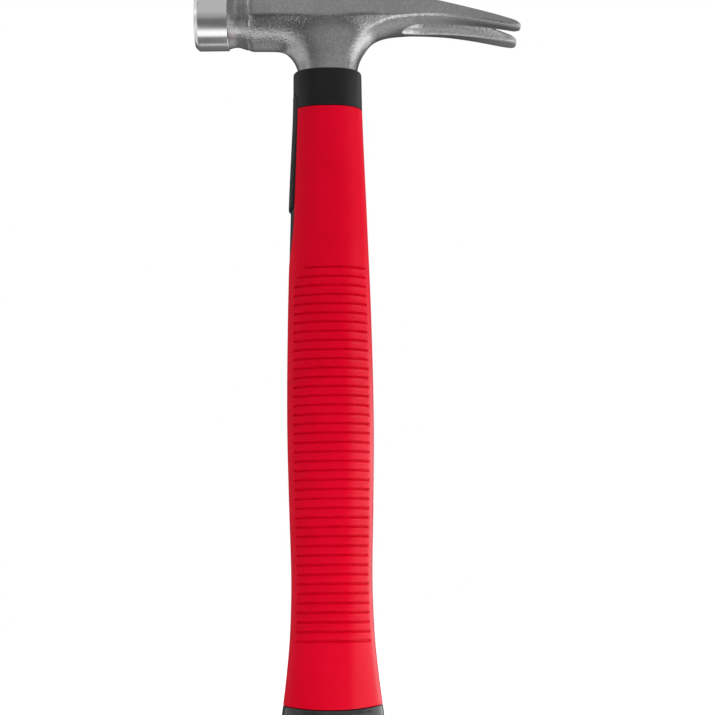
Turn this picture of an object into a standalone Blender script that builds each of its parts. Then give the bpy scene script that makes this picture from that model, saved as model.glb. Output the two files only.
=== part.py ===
"""Electrician hammer: a forged claw head resin-set on a glass-fibre handle with a soft sleeve.

Sizes are in millimetres and become metres when a mesh is made. +Z runs up the handle, -X points to the
striking face and +X to the claw. The origin is the middle of the flat butt.
"""
import math

import bmesh
import bpy

MM = 0.001
GAP = 0.3                    # clearance between neighbouring pieces
CUT_OVER = 4.0               # how far a cutter or guide runs past what it cuts

# Handle: height, half width and half depth of its outer skin
HANDLE_STATIONS = (
    (0.0, 19.6, 15.0),
    (2.4, 21.6, 16.6),
    (8.0, 22.1, 16.9),
    (16.0, 21.6, 16.5),
    (25.5, 20.4, 15.7),
    (36.0, 19.1, 14.9),
    (50.0, 17.75, 14.1),
    (66.0, 17.05, 13.7),
    (80.0, 17.0, 13.7),
    (108.0, 17.75, 14.2),
    (142.0, 18.3, 14.7),
    (185.0, 17.75, 14.2),
    (228.0, 16.45, 13.2),
    (272.0, 15.1, 12.2),
    (292.4, 14.9, 12.1),
)
SKIN_POWER = 2.35            # roundness of the handle's section; 2 would be an ellipse
SKIN_POINTS = 24             # points round one section
SKIN_STEP = 13.0             # height between sections

COLLAR_TOP = 292.4
COLLAR_EDGE = 1.2            # rounding of the collar's top edge
SLEEVE_TOP = 275.4
SLEEVE_BOTTOM = 22.2         # at the middle of the flat sides
SLEEVE_RISE = 1.7            # how much higher the lower edge is at the front and back
SLEEVE_WALL = 2.4

# Black strip in the sleeve's front window, and the pad on it
STRIP_HALF = 7.05
STRIP_END = 207.0
STRIP_TONGUE = 22.0          # length of the strip's half-oval lower end
STRIP_ARC = 12               # straight pieces in that end
STRIP_SUNK = 0.15            # the strip lies this far below the skin
STRIP_FRONT_X = -24.0        # cutters for the strip and pad reach from here
STRIP_REAR_X = -6.0          # to here
PAD_TOP = 281.9
PAD_BOTTOM = 231.5
PAD_CORNER = 3.4
PAD_CORNER_POINTS = 4
PAD_PROUD = 0.8
PAD_DEPTH = 1.4              # how far the pad sits below the skin

# Cross grooves on both flat sides of the sleeve
GROOVES = 41
GROOVE_FIRST = 205.1
GROOVE_LAST = 49.8
GROOVE_WIDTH = 1.2
GROOVE_DEPTH = 0.8
GROOVE_REACH = 0.84          # ends of a groove, as a share of the half width
GROOVE_POINTS = 6
GROOVE_SHORTER = (4.2, 2.0)  # the first grooves stop short of the window's end

# Core bar, and the parts that lock it into the head
CORE_HALF = (10.0, 7.0)
CORE_BOTTOM = 12.0
CORE_TOP = 328.6
CORE_POINTS = 24
EYE_HALF_BOTTOM = (11.2, 8.2)
EYE_HALF_TOP = (12.4, 9.2)
SEAL_THICK = 1.8
JACKET_BOTTOM = 7.0

# Head: striking face, chamfer, barrel, back of the barrel, neck and root inside the body,
# as (x, radius) turned about the line z = HEAD_AXIS
HEAD_AXIS = 316.6
TURNED_PROFILE = (
    (-57.5, 0.0),
    (-57.5, 11.4),
    (-55.9, 13.0),
    (-43.2, 13.0),
    (-43.0, 12.3),
    (-41.8, 11.95),
    (-39.0, 11.5),
    (-37.3, 11.8),
    (-35.2, 12.7),
    (-32.6, 12.9),
    (-29.6, 10.6),
    (-29.6, 0.0),
)
TURNED_STEPS = 40

# Head: sections of the forged body and claw as
# (x, top, parting line, bottom, half width, squareness, slot half width at the top and at the bottom)
BODY_SECTIONS = (
    (-35.0, 328.0, 315.6, 304.0, 11.6, 0.0, 0.0, 0.0),
    (-34.2, 330.0, 315.4, 302.0, 13.1, 0.0, 0.0, 0.0),
    (-32.6, 330.7, 315.3, 301.2, 13.7, 0.0, 0.0, 0.0),
    (-30.4, 330.4, 315.2, 301.6, 13.3, 0.0, 0.0, 0.0),
    (-25.0, 330.6, 315.1, 301.4, 13.6, 0.0, 0.0, 0.0),
    (-19.0, 330.6, 315.1, 301.3, 13.6, 0.0, 0.0, 0.0),
    (-4.5, 330.5, 315.1, 302.0, 13.2, 0.1, 0.0, 0.0),
    (6.5, 330.3, 315.1, 304.0, 13.2, 0.15, 0.0, 0.0),
    (19.0, 328.8, 314.9, 307.2, 13.7, 0.35, 0.0, 0.0),
    (28.0, 327.1, 314.4, 310.8, 14.0, 0.7, 0.0, 0.0),
    (34.5, 325.5, 314.1, 312.2, 14.3, 1.0, 0.0, 0.0),
)
CLAW_SECTIONS = (
    (39.5, 324.1, 314.2, 312.7, 14.5, 1.0, 0.5, 7.6),
    (50.0, 321.3, 313.9, 312.4, 14.9, 1.0, 1.6, 6.9),
    (61.0, 318.1, 312.9, 311.45, 15.3, 1.0, 3.0, 7.2),
    (72.0, 314.6, 311.3, 310.05, 15.7, 1.0, 4.6, 7.4),
    (79.6, 311.9, 309.9, 308.7, 15.9, 1.0, 5.7, 7.2),
    (82.4, 310.9, 309.4, 308.3, 15.3, 1.0, 6.4, 7.5),
    (83.2, 310.2, 309.2, 308.4, 13.8, 1.0, 7.6, 8.7),
)
CLAW_CORNERS = (313.5, 313.1, 311.7, 309.6, 308.0, 307.9, 308.4)  # heights of the outer lower edge
HEAD_TOP = max(section[1] for section in BODY_SECTIONS)
SLOT_ROOT_TOP_X = 37.0       # the slot starts here on the upper side of the claw
SLOT_ROOT_BOTTOM_X = 28.5    # and here on the handle side

# Head: points of half a section, from its upper middle to its lower middle. A body section is round:
# share of the half width, and share of the height above (+) or below (-) the parting line.
ROUND_SHARES = ((0.0, 1.0), (0.60, 0.95), (0.985, 0.50), (1.0, 0.0), (0.80, -0.43), (0.62, -0.67), (0.0, -1.0))
# A claw section is square: share of the way from the slot to the side, and the same share of height.
SQUARE_SHARES = ((0.0, 1.0), (0.5, 1.0), (0.96, 0.85), (1.0, 0.0), (0.93, -0.30), (0.5, -0.80), (0.0, -1.0))

# Head: how sharp the edges of the cage stay, from 0 for round to 1 for sharp
PARTING_SHARP = 0.8
SHOULDER_SHARP = 0.5
UNDERSIDE_SHARP = 0.5
CLAW_EDGE_SHARP = 0.15
SLOT_TOP_SHARP = 0.9
SLOT_BOTTOM_SHARP = 0.8
SLOT_ROOT_SHARP = 0.15
SOCKET_END_SHARP = 1.0
CREASED_CLAWS = 2            # claw sections along which the parting line stays sharp
SOFTER_CLAWS = 2             # and along which it then fades

# Head: rings of the socket, from the body down to its end, as
# (front x, back x, half depth, height at the front, at the sides and at the back, share of its broad form)
SOCKET_RINGS = (
    (-16.8, 18.6, 11.7, 299.9, 303.8, 303.9, 1.0),
    (-13.9, 14.5, 11.1, 295.2, 298.0, 298.2, 1.0),
    (-13.4, 12.8, 10.4, 292.0, 292.0, 292.0, 0.0),
    (-13.4, 13.0, 10.5, 285.0, 285.0, 285.0, 0.0),
)
SOCKET_END = SOCKET_RINGS[-1][4]
# quarter of a ring as shares of x and y: oval, and its broad form at the front and at the back
SOCKET_OVAL = ((1.0, 0.0), (0.915, 0.52), (0.68, 0.85), (0.28, 1.0))
SOCKET_NOSE = ((1.0, 0.0), (0.89, 0.53), (0.62, 0.86), (0.28, 1.0))
SOCKET_BROAD = ((1.0, 0.0), (0.96, 0.52), (0.86, 0.93), (0.28, 1.0))
SOCKET_FIRST = 5             # the body sections that the socket leaves from
SOCKET_LAST = 8
SOCKET_FRONT_X = (-12.5, -17.0, -20.5)  # where it leaves the first of them, from the side to the middle
SOCKET_BACK_X = (17.5, 18.7, 20.0)      # and the last
SOCKET_TOP_HALF = 12.1       # half depth where it leaves the sections between
RECESS_HALF = (13.7, 11.0)   # pocket in the collar for the socket
HEAD_LEVELS = 2


def clear_scene():
    for item in list(bpy.data.objects):
        bpy.data.objects.remove(item)


def make_material(name, colour, roughness, metallic=0.0):
    material = bpy.data.materials.new(name)
    material.use_nodes = True
    shader = material.node_tree.nodes["Principled BSDF"]
    shader.inputs["Base Color"].default_value = (*colour, 1.0)
    shader.inputs["Roughness"].default_value = roughness
    shader.inputs["Metallic"].default_value = metallic
    return material


def make_object(name, mesh_builder, material=None):
    """Turn a bmesh in millimetres into a scene object; without a material it is a cutter or a guide."""
    bmesh.ops.scale(mesh_builder, vec=(MM, MM, MM), verts=mesh_builder.verts)
    bmesh.ops.recalc_face_normals(mesh_builder, faces=mesh_builder.faces)
    mesh = bpy.data.meshes.new(name)
    mesh_builder.to_mesh(mesh)
    mesh_builder.free()
    item = bpy.data.objects.new(name, mesh)
    bpy.context.collection.objects.link(item)
    if material is None:
        item.hide_render = True
        item.display_type = "WIRE"
    else:
        mesh.materials.append(material)
    return item


def combine(item, other, operation):
    modifier = item.modifiers.new(f"{operation.lower()} {other.name}", "BOOLEAN")
    modifier.operation = operation
    modifier.object = other


def smooth_shading(item, angle=40.0):
    item.data.shade_smooth()
    item.data.set_sharp_from_angle(angle=math.radians(angle))


def loft(rings, arched_ends=False):
    """Skin a list of equal rings and close both ends; an arched end is closed in strips along Y."""
    mesh_builder = bmesh.new()
    rows = [[mesh_builder.verts.new(point) for point in ring] for ring in rings]
    count = len(rings[0])
    for lower, upper in zip(rows, rows[1:]):
        for i in range(count):
            j = (i + 1) % count
            mesh_builder.faces.new((lower[i], lower[j], upper[j], upper[i]))
    for row in (rows[0], rows[-1]):
        if arched_ends:
            for i in range(count // 2):
                strip = (row[i], row[i + 1], row[-i - 1], row[-i])
                mesh_builder.faces.new(dict.fromkeys(strip))
        else:
            mesh_builder.faces.new(row)
    return mesh_builder


def prism_along_x(outline):
    """An outline of (y, z) points, extruded along X through the handle's front."""
    return loft([[(x, y, z) for y, z in outline] for x in (STRIP_FRONT_X, STRIP_REAR_X)])


def oval(half_width, half_depth, height, power=2.0, count=SKIN_POINTS):
    points = []
    for i in range(count):
        angle = 2.0 * math.pi * i / count
        across = math.cos(angle)
        deep = math.sin(angle)
        points.append((
            half_width * math.copysign(abs(across) ** (2.0 / power), across),
            half_depth * math.copysign(abs(deep) ** (2.0 / power), deep),
            height,
        ))
    return points


def handle_half_sizes(height):
    """Half width and half depth of the handle's skin, on a smooth curve through its stations."""
    last = len(HANDLE_STATIONS) - 1
    index = 0
    while index < last - 1 and height > HANDLE_STATIONS[index + 1][0]:
        index += 1
    below, start, end, above = (HANDLE_STATIONS[min(max(index + k, 0), last)] for k in (-1, 0, 1, 2))
    span = end[0] - start[0]
    t = (height - start[0]) / span
    sizes = []
    for axis in (1, 2):
        leave = (end[axis] - below[axis]) / (end[0] - below[0]) * span
        arrive = (above[axis] - start[axis]) / (above[0] - start[0]) * span
        sizes.append(
            (2 * t**3 - 3 * t**2 + 1) * start[axis] + (t**3 - 2 * t**2 + t) * leave
            + (3 * t**2 - 2 * t**3) * end[axis] + (t**3 - t**2) * arrive
        )
    return sizes


def skin_ring(height, offset=0.0, rise=0.0):
    """One section of the handle's skin, grown by offset, curving up by rise at the front and back."""
    half_width, half_depth = handle_half_sizes(height)
    ring = oval(half_width + offset, half_depth + offset, height, SKIN_POWER)
    return [(x, y, z + rise * (x / half_width) ** 2) for x, y, z in ring]


def skin_heights(bottom, top):
    steps = max(1, round((top - bottom) / SKIN_STEP))
    return [bottom + (top - bottom) * i / steps for i in range(steps + 1)]


def skin_body(bottom, top, offset=0.0):
    return loft([skin_ring(height, offset) for height in skin_heights(bottom, top)])


def strip_outline(margin=0.0, top=COLLAR_TOP):
    """Front strip as (y, z) points: parallel sides and a long half-oval lower end."""
    half = STRIP_HALF + margin
    points = [(half, top)]
    for i in range(STRIP_ARC + 1):
        angle = math.pi * i / STRIP_ARC
        drop = (STRIP_TONGUE + margin) * math.sin(angle)
        points.append((half * math.cos(angle), STRIP_END + STRIP_TONGUE - drop))
    points.append((-half, top))
    return points


def pad_outline(margin=0.0):
    """Pad as (y, z) points: as wide as the strip, with rounded corners."""
    points = []
    corners = ((1, 1), (-1, 1), (-1, -1), (1, -1))
    middle = (PAD_TOP + PAD_BOTTOM) / 2
    radius = PAD_CORNER + margin
    for quarter, (side_y, side_z) in enumerate(corners):
        centre_y = side_y * (STRIP_HALF - PAD_CORNER)
        centre_z = middle + side_z * ((PAD_TOP - PAD_BOTTOM) / 2 - PAD_CORNER)
        for i in range(PAD_CORNER_POINTS):
            angle = math.pi / 2 * (quarter + i / (PAD_CORNER_POINTS - 1))
            points.append((centre_y + radius * math.cos(angle), centre_z + radius * math.sin(angle)))
    return points


def groove_cutters():
    """All cross grooves as separate bars, bent to the sleeve's section."""
    mesh_builder = bmesh.new()
    pitch = (GROOVE_FIRST - GROOVE_LAST) / (GROOVES - 1)
    for index in range(GROOVES):
        height = GROOVE_FIRST - index * pitch
        half_width, half_depth = handle_half_sizes(height)
        reach = half_width * GROOVE_REACH
        start = -reach + (GROOVE_SHORTER[index] if index < len(GROOVE_SHORTER) else 0.0)
        for side in (-1, 1):
            floor = []
            above = []
            for k in range(GROOVE_POINTS):
                x = start + (reach - start) * k / (GROOVE_POINTS - 1)
                y = half_depth * (1.0 - abs(x / half_width) ** SKIN_POWER) ** (1.0 / SKIN_POWER)
                floor.append((x, side * (y - GROOVE_DEPTH)))
                above.append((x, side * (y + GROOVE_DEPTH)))
            outline = floor + above[::-1]
            bar = loft([[(x, y, height + dz) for x, y in outline]
                        for dz in (-GROOVE_WIDTH / 2, GROOVE_WIDTH / 2)])
            mesh = bpy.data.meshes.new("groove bar")
            bar.to_mesh(mesh)
            bar.free()
            mesh_builder.from_mesh(mesh)
            bpy.data.meshes.remove(mesh)
    return make_object("cut grooves", mesh_builder)


def body_section(x, top, parting, bottom, half_width, square, slot_top, slot_bottom):
    """Half a section of the forging, from its upper middle round the +Y side to its lower middle."""
    points = []
    for (round_out, round_up), (square_out, square_up) in zip(ROUND_SHARES, SQUARE_SHARES):
        slot = slot_top if square_up > 0 else slot_bottom
        y_square = slot + (half_width - slot) * square_out
        y = half_width * round_out * (1 - square) + y_square * square
        up = round_up * (1 - square) + square_up * square
        z = parting + up * (top - parting if up > 0 else parting - bottom)
        points.append((x, y, z))
    return points


def socket_ring(front_x, back_x, half_depth, front_z, side_z, back_z, broad):
    """Half a ring of the socket, from its front middle round the +Y side to its back middle."""
    quarters = []
    for reach, end_z, form in ((front_x, front_z, SOCKET_NOSE), (back_x, back_z, SOCKET_BROAD)):
        quarter = []
        for plain, full in zip(SOCKET_OVAL, form):
            along, out = (a + (b - a) * broad for a, b in zip(plain, full))
            quarter.append((reach * along, half_depth * out, side_z + (end_z - side_z) * along**2))
        quarters.append(quarter)
    front, back = quarters
    return front + back[::-1]


def forged_half():
    """The +Y half of the forging as a coarse cage, open along the plane y = 0."""
    cage = bmesh.new()
    crease = cage.edges.layers.float.new("crease_edge")
    rows = []
    for section in BODY_SECTIONS + CLAW_SECTIONS:
        rows.append([cage.verts.new(point) for point in body_section(*section)])
    root = rows[len(BODY_SECTIONS) - 1]
    root[0].co.x = SLOT_ROOT_TOP_X
    root[-1].co.x = SLOT_ROOT_BOTTOM_X
    for row, corner in zip(rows[len(BODY_SECTIONS):], CLAW_CORNERS):
        row[4].co.z = corner
        row[5].co.z = (corner + row[6].co.z) / 2
    front = rows[SOCKET_FIRST]
    back = rows[SOCKET_LAST]
    for row, places in ((front, SOCKET_FRONT_X), (back, SOCKET_BACK_X)):
        for vert, x in zip(row[4:], places):
            vert.co.x = x
    for row in rows[SOCKET_FIRST + 1:SOCKET_LAST]:
        row[4].co.y = SOCKET_TOP_HALF
    count = len(root)
    for index, (near, far) in enumerate(zip(rows, rows[1:])):
        for k in range(count - 1):
            under_socket = SOCKET_FIRST <= index < SOCKET_LAST and k >= count - 3
            if not under_socket:
                cage.faces.new((near[k], near[k + 1], far[k + 1], far[k]))
        if index >= len(BODY_SECTIONS) - 1:
            cage.faces.new((near[-1], near[0], far[0], far[-1]))
    for row in (rows[0], rows[-1]):
        cage.faces.new((row[0], row[1], row[5], row[6]))
        cage.faces.new((row[1], row[2], row[4], row[5]))
        cage.faces.new((row[2], row[3], row[4]))
    loop = [front[6], front[5], front[4]]
    loop += [rows[index][4] for index in range(SOCKET_FIRST + 1, SOCKET_LAST)]
    loop += [back[4], back[5], back[6]]
    for ring in SOCKET_RINGS:
        lower = [cage.verts.new(point) for point in socket_ring(*ring)]
        for k in range(len(loop) - 1):
            cage.faces.new((loop[k], loop[k + 1], lower[k + 1], lower[k]))
        loop = lower
    cage.faces.new((loop[0], loop[1], loop[6], loop[7]))
    cage.faces.new((loop[1], loop[2], loop[5], loop[6]))
    cage.faces.new((loop[2], loop[3], loop[4], loop[5]))

    def sharpen(points, amount):
        for start, end in zip(points, points[1:]):
            edge = cage.edges.get((start, end))
            if edge:
                edge[crease] = amount

    sharpen(loop, SOCKET_END_SHARP)
    crease_end = len(BODY_SECTIONS) + CREASED_CLAWS
    sharpen([row[3] for row in rows[:crease_end]], PARTING_SHARP)
    sharpen([row[3] for row in rows[crease_end - 1:crease_end + SOFTER_CLAWS]], CLAW_EDGE_SHARP)
    sharpen([row[2] for row in rows[:-1]], SHOULDER_SHARP)
    sharpen([row[4] for row in rows[SOCKET_LAST:len(BODY_SECTIONS)]], UNDERSIDE_SHARP)
    claw_rows = rows[len(BODY_SECTIONS) - 1:-1]
    sharpen([row[0] for row in claw_rows], SLOT_TOP_SHARP)
    sharpen([row[6] for row in claw_rows], SLOT_BOTTOM_SHARP)
    sharpen([root[0], root[6]], SLOT_ROOT_SHARP)
    return cage


def turned_face():
    """Striking face and neck, spun about the head's axis."""
    mesh_builder = bmesh.new()
    points = [mesh_builder.verts.new((x, 0.0, HEAD_AXIS + radius)) for x, radius in TURNED_PROFILE]
    edges = [mesh_builder.edges.new(pair) for pair in zip(points, points[1:])]
    bmesh.ops.spin(mesh_builder, geom=points + edges, cent=(0.0, 0.0, HEAD_AXIS), axis=(1.0, 0.0, 0.0),
                   angle=2.0 * math.pi, steps=TURNED_STEPS, use_merge=True)
    bmesh.ops.remove_doubles(mesh_builder, verts=mesh_builder.verts, dist=0.001)
    return mesh_builder


def tapered_bar(bottom, top, half_bottom, half_top, count=CORE_POINTS):
    return loft([oval(*half_bottom, bottom, count=count), oval(*half_top, top, count=count)])


def grown(half_sizes, amount):
    return tuple(size + amount for size in half_sizes)


def build_head(steel):
    head = make_object("hammer_head", forged_half(), steel)
    mirror = head.modifiers.new("other half", "MIRROR")
    mirror.use_axis = (False, True, False)
    mirror.merge_threshold = 0.00001
    rounding = head.modifiers.new("forged rounding", "SUBSURF")
    rounding.levels = HEAD_LEVELS
    rounding.render_levels = HEAD_LEVELS
    combine(head, make_object("add striking face", turned_face()), "UNION")
    eye = tapered_bar(SOCKET_END - CUT_OVER, HEAD_TOP + CUT_OVER, EYE_HALF_BOTTOM, EYE_HALF_TOP)
    combine(head, make_object("cut eye", eye), "DIFFERENCE")
    smooth_shading(head)


def build_core(glass_fibre):
    core = tapered_bar(CORE_BOTTOM, CORE_TOP, CORE_HALF, CORE_HALF)
    smooth_shading(make_object("handle_core", core, glass_fibre))


def build_resin(resin):
    """Resin between the tenon and the eye, a little below the head's crown."""
    bottom = SOCKET_END + GAP
    halves = []
    for height in (bottom, CORE_TOP):
        share = (height - SOCKET_END + CUT_OVER) / (HEAD_TOP - SOCKET_END + 2 * CUT_OVER)
        halves.append(tuple(low + (high - low) * share - GAP
                            for low, high in zip(EYE_HALF_BOTTOM, EYE_HALF_TOP)))
    item = make_object("eye_resin", tapered_bar(bottom, CORE_TOP, *halves), resin)
    around = grown(CORE_HALF, GAP)
    hole = tapered_bar(bottom - CUT_OVER, CORE_TOP + CUT_OVER, around, around)
    combine(item, make_object("cut tenon hole", hole), "DIFFERENCE")
    smooth_shading(item)


def build_seal(rubber):
    """Ring under the socket."""
    top = SOCKET_END - GAP
    half_sizes = grown(RECESS_HALF, -2 * GAP)
    ring = loft([oval(*half_sizes, z, SKIN_POWER) for z in (top - SEAL_THICK, top)])
    item = make_object("socket_seal", ring, rubber)
    around = grown(CORE_HALF, GAP)
    hole = tapered_bar(top - SEAL_THICK - CUT_OVER, top + CUT_OVER, around, around)
    combine(item, make_object("cut seal hole", hole), "DIFFERENCE")
    smooth_shading(item)


def build_jacket(black_plastic):
    """Hard plastic round the core: slim under the sleeve and cap, full size at the collar and strip."""
    slim = -SLEEVE_WALL - GAP
    rings = [skin_ring(height, slim) for height in skin_heights(JACKET_BOTTOM, SLEEVE_TOP + GAP)]
    rings += [skin_ring(height) for height in skin_heights(SLEEVE_TOP + GAP, COLLAR_TOP - COLLAR_EDGE)]
    for angle in (30, 60, 90):
        lift = COLLAR_EDGE * math.sin(math.radians(angle))
        draw_in = COLLAR_EDGE * (1 - math.cos(math.radians(angle)))
        rings.append(skin_ring(COLLAR_TOP - COLLAR_EDGE + lift, -draw_in))
    jacket = make_object("handle_jacket", loft(rings), black_plastic)

    strip = make_object("add front strip", prism_along_x(strip_outline(top=SLEEVE_TOP + CUT_OVER)))
    sunk_skin = skin_body(STRIP_END - CUT_OVER, SLEEVE_TOP + 2 * CUT_OVER, -STRIP_SUNK)
    combine(strip, make_object("guide sunk skin", sunk_skin), "INTERSECT")
    combine(jacket, strip, "UNION")

    recess_floor = SOCKET_END - 2 * GAP - SEAL_THICK
    recess = loft([oval(*RECESS_HALF, z, SKIN_POWER) for z in (recess_floor, COLLAR_TOP + CUT_OVER)])
    combine(jacket, make_object("cut socket recess", recess), "DIFFERENCE")
    bore = tapered_bar(CORE_BOTTOM - GAP, COLLAR_TOP, grown(CORE_HALF, GAP), grown(CORE_HALF, GAP))
    combine(jacket, make_object("cut core bore", bore), "DIFFERENCE")

    pocket = make_object("cut pad pocket", prism_along_x(pad_outline(GAP)))
    floor = skin_body(PAD_BOTTOM - CUT_OVER, PAD_TOP + CUT_OVER, -PAD_DEPTH - GAP)
    combine(pocket, make_object("guide pocket floor", floor), "DIFFERENCE")
    combine(jacket, pocket, "DIFFERENCE")
    smooth_shading(jacket)


def build_pad(soft_black):
    bottom = PAD_BOTTOM - CUT_OVER
    top = PAD_TOP + CUT_OVER
    pad = make_object("overstrike_pad", prism_along_x(pad_outline()), soft_black)
    combine(pad, make_object("guide pad top", skin_body(bottom, top, PAD_PROUD)), "INTERSECT")
    combine(pad, make_object("guide pad floor", skin_body(bottom, top, -PAD_DEPTH)), "DIFFERENCE")
    smooth_shading(pad)


def build_sleeve(red_rubber):
    rings = [skin_ring(height) for height in skin_heights(SLEEVE_BOTTOM, SLEEVE_TOP)]
    rings[0] = skin_ring(SLEEVE_BOTTOM, rise=SLEEVE_RISE)
    sleeve = make_object("grip_sleeve", loft(rings, arched_ends=True), red_rubber)
    combine(sleeve, make_object("cut sleeve window", prism_along_x(strip_outline(GAP))), "DIFFERENCE")
    inside = skin_body(SLEEVE_BOTTOM - CUT_OVER, SLEEVE_TOP + CUT_OVER, -SLEEVE_WALL)
    combine(sleeve, make_object("cut sleeve inside", inside), "DIFFERENCE")
    combine(sleeve, groove_cutters(), "DIFFERENCE")
    smooth_shading(sleeve)


def build_cap(gloss_black):
    """Closed cup over the end of the jacket."""
    rings = [skin_ring(station[0]) for station in HANDLE_STATIONS if station[0] < SLEEVE_BOTTOM - GAP]
    rings.append(skin_ring(SLEEVE_BOTTOM - GAP, rise=SLEEVE_RISE))
    cap = make_object("butt_cap", loft(rings, arched_ends=True), gloss_black)
    inside = skin_body(JACKET_BOTTOM - GAP, SLEEVE_BOTTOM + CUT_OVER, -SLEEVE_WALL)
    combine(cap, make_object("cut cap inside", inside), "DIFFERENCE")
    smooth_shading(cap)


clear_scene()
build_head(make_material("forged steel", (0.24, 0.24, 0.24), 0.45, 1.0))
build_core(make_material("glass fibre", (0.72, 0.66, 0.42), 0.5))
build_resin(make_material("cast resin", (0.16, 0.11, 0.06), 0.35))
build_seal(make_material("seal rubber", (0.03, 0.03, 0.03), 0.8))
build_jacket(make_material("black plastic", (0.022, 0.022, 0.024), 0.5))
build_pad(make_material("soft black", (0.02, 0.02, 0.02), 0.65))
build_sleeve(make_material("red soft plastic", (0.66, 0.003, 0.022), 0.45))
build_cap(make_material("gloss black", (0.02, 0.02, 0.022), 0.15))
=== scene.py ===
"""Looks of the electrician hammer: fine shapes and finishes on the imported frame, a studio and a camera.

Sizes are in millimetres and become metres when a mesh is made. +Z runs up the handle, -X points to the
striking face and +X to the claw. The origin is the middle of the flat butt.
"""

import math

import bmesh
import bpy
from mathutils import Matrix, Vector


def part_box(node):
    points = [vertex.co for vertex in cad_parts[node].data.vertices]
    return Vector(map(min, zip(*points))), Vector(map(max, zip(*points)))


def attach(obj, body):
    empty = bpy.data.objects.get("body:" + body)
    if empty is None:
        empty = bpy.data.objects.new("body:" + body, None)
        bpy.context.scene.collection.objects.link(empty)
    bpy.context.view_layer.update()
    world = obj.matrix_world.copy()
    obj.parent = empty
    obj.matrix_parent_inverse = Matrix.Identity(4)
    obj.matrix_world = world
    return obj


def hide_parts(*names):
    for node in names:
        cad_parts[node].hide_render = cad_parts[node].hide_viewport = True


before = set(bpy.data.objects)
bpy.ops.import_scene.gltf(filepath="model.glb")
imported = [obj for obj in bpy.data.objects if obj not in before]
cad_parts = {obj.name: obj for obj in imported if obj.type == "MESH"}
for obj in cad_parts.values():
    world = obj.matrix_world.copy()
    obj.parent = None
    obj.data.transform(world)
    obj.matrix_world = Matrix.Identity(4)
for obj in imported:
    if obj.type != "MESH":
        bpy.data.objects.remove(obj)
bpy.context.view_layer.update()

MM = 0.001


def frame_box(node):
    """Lowest and highest corner of a CAD node, in millimetres."""
    low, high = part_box(node)
    return low / MM, high / MM


jacket_low, jacket_high = frame_box("handle_jacket")
sleeve_low, sleeve_high = frame_box("grip_sleeve")
pad_low, pad_high = frame_box("overstrike_pad")
core_low, core_high = frame_box("handle_core")

# Outer skin of the handle: height, half width and half depth
HANDLE_STATIONS = (
    (0.0, 19.6, 15.0),
    (2.4, 21.6, 16.6),
    (8.0, 22.1, 16.9),
    (16.0, 21.6, 16.5),
    (25.5, 20.4, 15.7),
    (36.0, 19.1, 14.9),
    (50.0, 17.75, 14.1),
    (66.0, 17.05, 13.7),
    (80.0, 17.0, 13.7),
    (108.0, 17.75, 14.2),
    (142.0, 18.3, 14.7),
    (185.0, 17.75, 14.2),
    (228.0, 16.45, 13.2),
    (272.0, 14.98, 12.15),
    (292.4, 14.72, 12.0),
)
# Power of the handle's oval section, and the room left between pieces
SKIN_POWER = 2.35
GAP = 0.3

# A quarter turn, the distances within which points count as one, and the angles past which an edge stays
# hard or is eased
QUARTER = math.pi / 2
WELD = 0.001
NEAR = 0.01
HARD_ANGLE = math.radians(35.0)
EASED_ANGLE = math.radians(50.0)
EASED_STEPS = 2

# Collar with its rounded upper edge and its recess for the socket
COLLAR_LOWERED = 0.3
COLLAR_TOP = jacket_high.z - COLLAR_LOWERED
COLLAR_EDGE = 0.9
COLLAR_EDGE_DEGREES = (18, 36, 54, 72, 90)
COLLAR_FOOT = 0.12
COLLAR_START = 0.5
COLLAR_ROWS = 6
RECESS_HALF = (13.6, 10.9)
RECESS_LEDGE = 0.4
RECESS_FLOOR = 282.6

# Red sleeve, whose lower edge rises towards the front and back; points past the outer level lie on its skin
SLEEVE_LOWERED = 0.2
SLEEVE_TOP = sleeve_high.z - SLEEVE_LOWERED
SLEEVE_BOTTOM = sleeve_low.z
SLEEVE_RISE = 1.7
SLEEVE_RISE_FADE = 12.0
SLEEVE_WALL = 2.4
SLEEVE_LIP = 0.45
SLEEVE_PLAIN_ROWS = 16
SLEEVE_OUTER_LEVEL = 0.97

# Strip in the sleeve's window, and the pad on it
STRIP_HALF = 7.05
STRIP_LEAST_HALF = 0.02
STRIP_END = 207.0
STRIP_TONGUE = 22.0
STRIP_SUNK = 0.15
STRIP_STEPS = 10
BELOW_STRIP = (1.0, 0.05)
BELOW_STRIP_ROWS = 14
BESIDE_STRIP_ROWS = 9
WINDOW_FADE = 9.0
PAD_CORNER = 3.4
PAD_CORNER_STEPS = 8
PAD_PROUD = 0.8
PAD_PROUD_TOP = 0.12
PAD_DEPTH = 1.4
PAD_EDGE = 0.5
PAD_EDGE_STEPS = 4
PAD_RIM_ANGLE = 1.0
PAD_CUTS_ACROSS = range(-6, 7)
PAD_CUTS_ALONG = range(-24, 25, 4)
POCKET_REACH = 4.0

# Cross grooves; GROOVE_ROWS are heights above a groove's middle, and GROOVE_SHORTER is what the topmost
# grooves lack in front
GROOVES = 41
GROOVE_FIRST = 205.1
GROOVE_LAST = 49.8
GROOVE_PITCH = (GROOVE_FIRST - GROOVE_LAST) / (GROOVES - 1)
GROOVE_DEPTH = 0.85
GROOVE_REACH_FRONT = 0.85
GROOVE_REACH_BACK = 0.90
GROOVE_END = 0.3
GROOVE_SHORTER = (4.2, 2.0)
GROOVE_ROWS = (-1.15, -0.85, -0.55, -0.28, -0.08, 0.08, 0.2, 0.34, 0.42, 1.0)
GROOVE_FLOOR = 0.08
GROOVE_EDGE_ABOVE = 0.4
GROOVE_EDGE_BELOW = 1.0
RIB_CROWN = 0.1
GROOVE_ZONE_LOW = GROOVE_LAST - 3.0
GROOVE_ZONE_HIGH = GROOVE_FIRST + 1.5

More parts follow.
